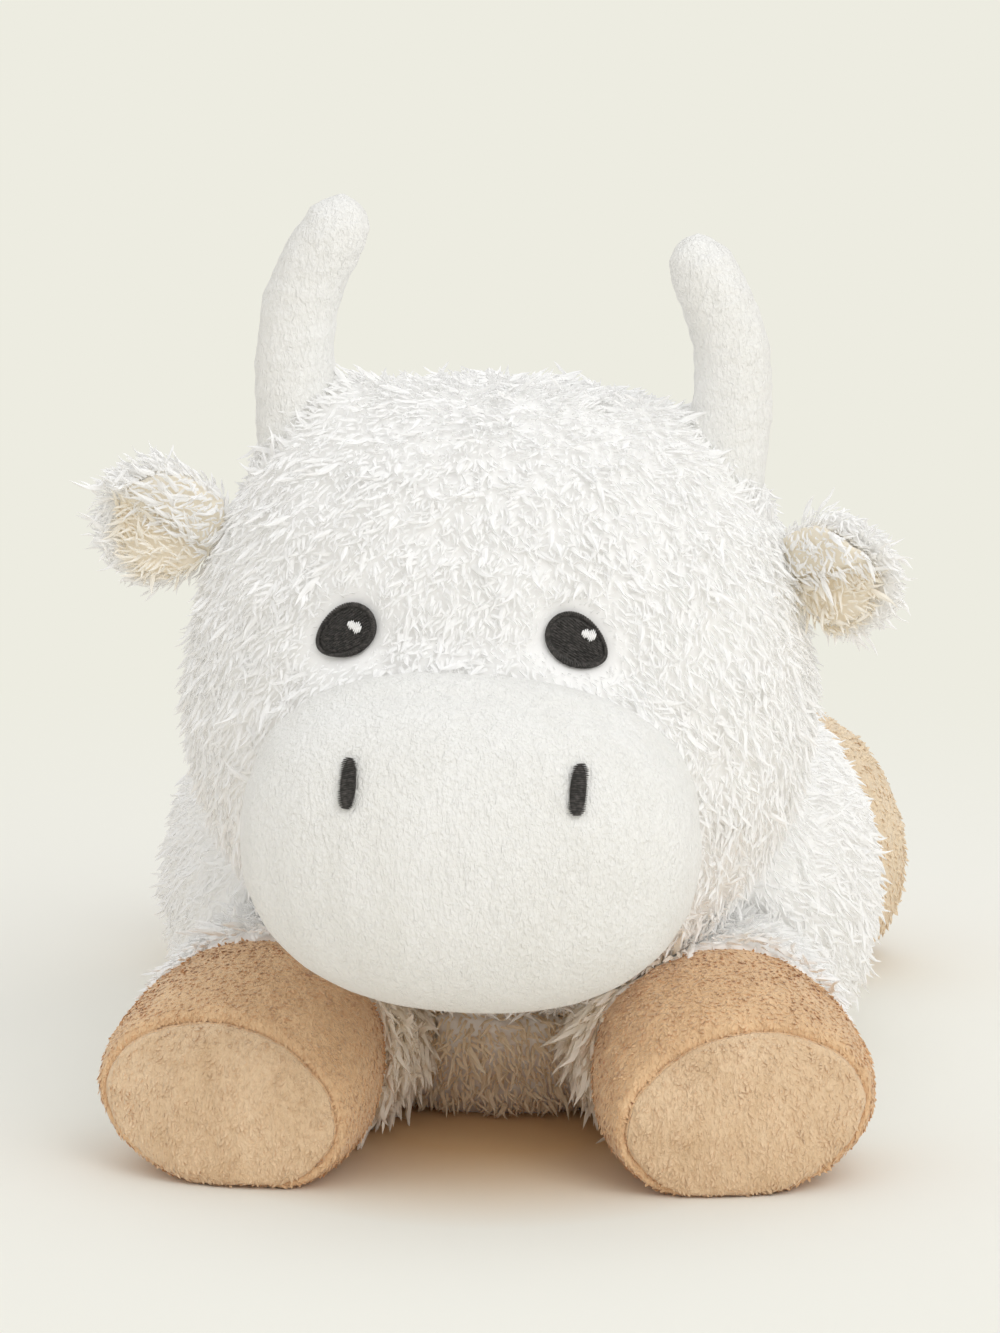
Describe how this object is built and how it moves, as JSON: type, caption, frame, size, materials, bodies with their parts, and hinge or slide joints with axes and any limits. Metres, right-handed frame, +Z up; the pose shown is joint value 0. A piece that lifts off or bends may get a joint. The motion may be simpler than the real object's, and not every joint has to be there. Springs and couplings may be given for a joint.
{
  "type": "plush buffalo",
  "caption": "Stuffed buffalo lying on its flat belly: curly fleece head and body, smooth oval muzzle, soft curved horns, cupped ears, tan hooves; head, ears, legs and tail give at their seams.",
  "frame": {"origin": "middle of the flat belly, on the floor", "axes": "+Z up, -Y the way the toy faces, +X the toy's own left"},
  "size_m": [0.2367, 0.3653, 0.2807],
  "materials": {
    "fleece": "curly sherpa fleece, matte",
    "plush": "short-pile plush, soft sheen",
    "hoof_plush": "short-pile plush, soft sheen",
    "black_thread": "satin-stitch embroidery",
    "white_thread": "satin-stitch embroidery",
    "fibre": "loose fibre filling",
    "pouch_cloth": "plain woven pouch"
  },
  "bodies": {
    "body": {"body_cover": "fleece", "body_stuffing": "fibre", "belly_grain_pouch": "pouch_cloth"},
    "head": {"head_cover": "fleece", "head_stuffing": "fibre", "muzzle_cover": "plush", "muzzle_stuffing": "fibre", "eye_left": "black_thread", "eye_right": "black_thread", "eye_glint_left": "white_thread", "eye_glint_right": "white_thread", "nostril_left": "black_thread", "nostril_right": "black_thread", "horn_left_cover": "plush", "horn_left_stuffing": "fibre", "horn_right_cover": "plush", "horn_right_stuffing": "fibre"},
    "ear_left": {"ear_left_back": "fleece", "ear_left_front": "fleece"},
    "ear_right": {"ear_right_back": "fleece", "ear_right_front": "fleece"},
    "front_left_leg": {"front_left_leg_cover": "fleece", "front_left_hoof_upper": "hoof_plush", "front_left_hoof_sole": "hoof_plush", "front_left_leg_stuffing": "fibre"},
    "front_right_leg": {"front_right_leg_cover": "fleece", "front_right_hoof_upper": "hoof_plush", "front_right_hoof_sole": "hoof_plush", "front_right_leg_stuffing": "fibre"},
    "hind_left_leg": {"hind_left_leg_cover": "fleece", "hind_left_hoof_upper": "hoof_plush", "hind_left_hoof_sole": "hoof_plush", "hind_left_leg_stuffing": "fibre"},
    "hind_right_leg": {"hind_right_leg_cover": "fleece", "hind_right_hoof_upper": "hoof_plush", "hind_right_hoof_sole": "hoof_plush", "hind_right_leg_stuffing": "fibre"},
    "tail": {"tail_cover": "fleece", "tail_tuft": "fleece"}
  },
  "joints": [
    {"name": "head_nod", "type": "hinge", "parent": "body", "child": "head", "pos_m": [0, -0.095, 0.13], "axis": [-1, 0, 0], "range_deg": [0, 12], "stiffness_Nm_per_rad": 0.3},
    {"name": "ear_left_flap", "type": "hinge", "parent": "head", "child": "ear_left", "pos_m": [0.08844, -0.09651, 0.17624], "axis": [-0.4632, 0.0087, 0.8862], "range_deg": [-24, 24], "stiffness_Nm_per_rad": 0.005},
    {"name": "ear_right_flap", "type": "hinge", "parent": "head", "child": "ear_right", "pos_m": [-0.08426, -0.09349, 0.18348], "axis": [-0.5358, 0.0087, -0.8443], "range_deg": [-24, 24], "stiffness_Nm_per_rad": 0.005},
    {"name": "front_left_leg_swing", "type": "hinge", "parent": "body", "child": "front_left_leg", "pos_m": [0.056, -0.078, 0.03099], "axis": [0, 0, 1], "range_deg": [0, 20], "stiffness_Nm_per_rad": 0.1},
    {"name": "front_right_leg_swing", "type": "hinge", "parent": "body", "child": "front_right_leg", "pos_m": [-0.056, -0.078, 0.03099], "axis": [0, 0, -1], "range_deg": [0, 20], "stiffness_Nm_per_rad": 0.1},
    {"name": "hind_left_leg_swing", "type": "hinge", "parent": "body", "child": "hind_left_leg", "pos_m": [0.056, 0.068, 0.0417], "axis": [0, 0, -1], "range_deg": [0, 15], "stiffness_Nm_per_rad": 0.1},
    {"name": "hind_right_leg_swing", "type": "hinge", "parent": "body", "child": "hind_right_leg", "pos_m": [-0.056, 0.068, 0.0417], "axis": [0, 0, 1], "range_deg": [0, 15], "stiffness_Nm_per_rad": 0.1},
    {"name": "tail_swing", "type": "hinge", "parent": "body", "child": "tail", "pos_m": [0, 0.0804, 0.1005], "axis": [0, 1, 0], "range_deg": [-22, 22], "stiffness_Nm_per_rad": 0.01}
  ]
}
